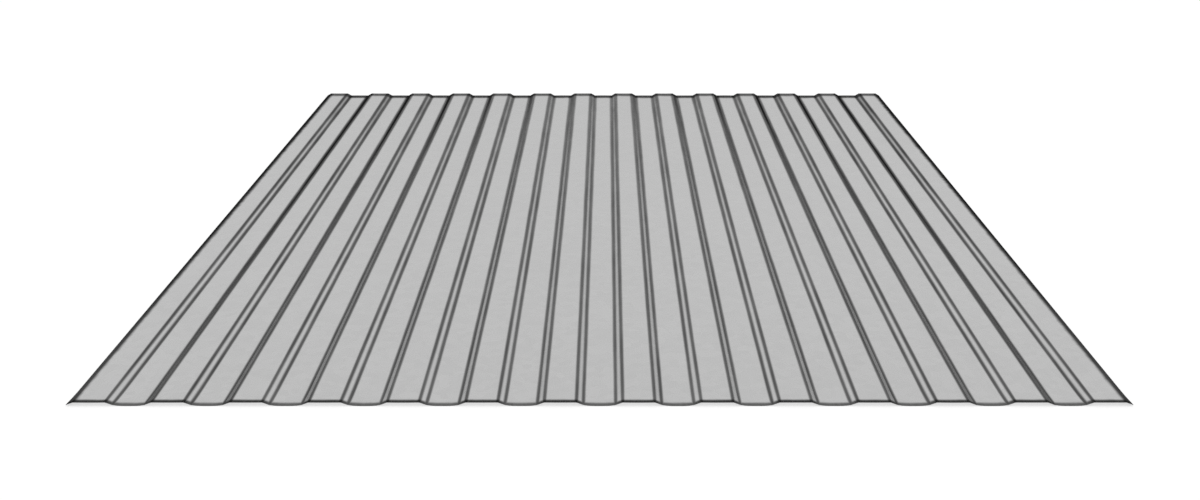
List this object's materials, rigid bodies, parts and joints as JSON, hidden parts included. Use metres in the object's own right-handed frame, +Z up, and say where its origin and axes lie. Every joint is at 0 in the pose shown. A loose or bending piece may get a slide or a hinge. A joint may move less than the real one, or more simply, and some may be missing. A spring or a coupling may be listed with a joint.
{
  "type": "corrugated metal sheet",
  "caption": "Low trapezoidal corrugated sheet of bare galvanised steel, a length of roof or wall cladding with a turned-down web along each side edge for lapping over the next sheet.",
  "frame": {"origin": "middle of the underside of the middle valley, the face that the sheet lies on", "axes": "+X across the ribs, +Y along the ribs, +Z up out of the rib tops"},
  "size_m": [1.2002, 1.5, 0.005],
  "materials": {
    "galvanised_steel": "satin"
  },
  "bodies": {
    "root": {"corrugated_sheet": "galvanised_steel"}
  },
  "joints": []
}
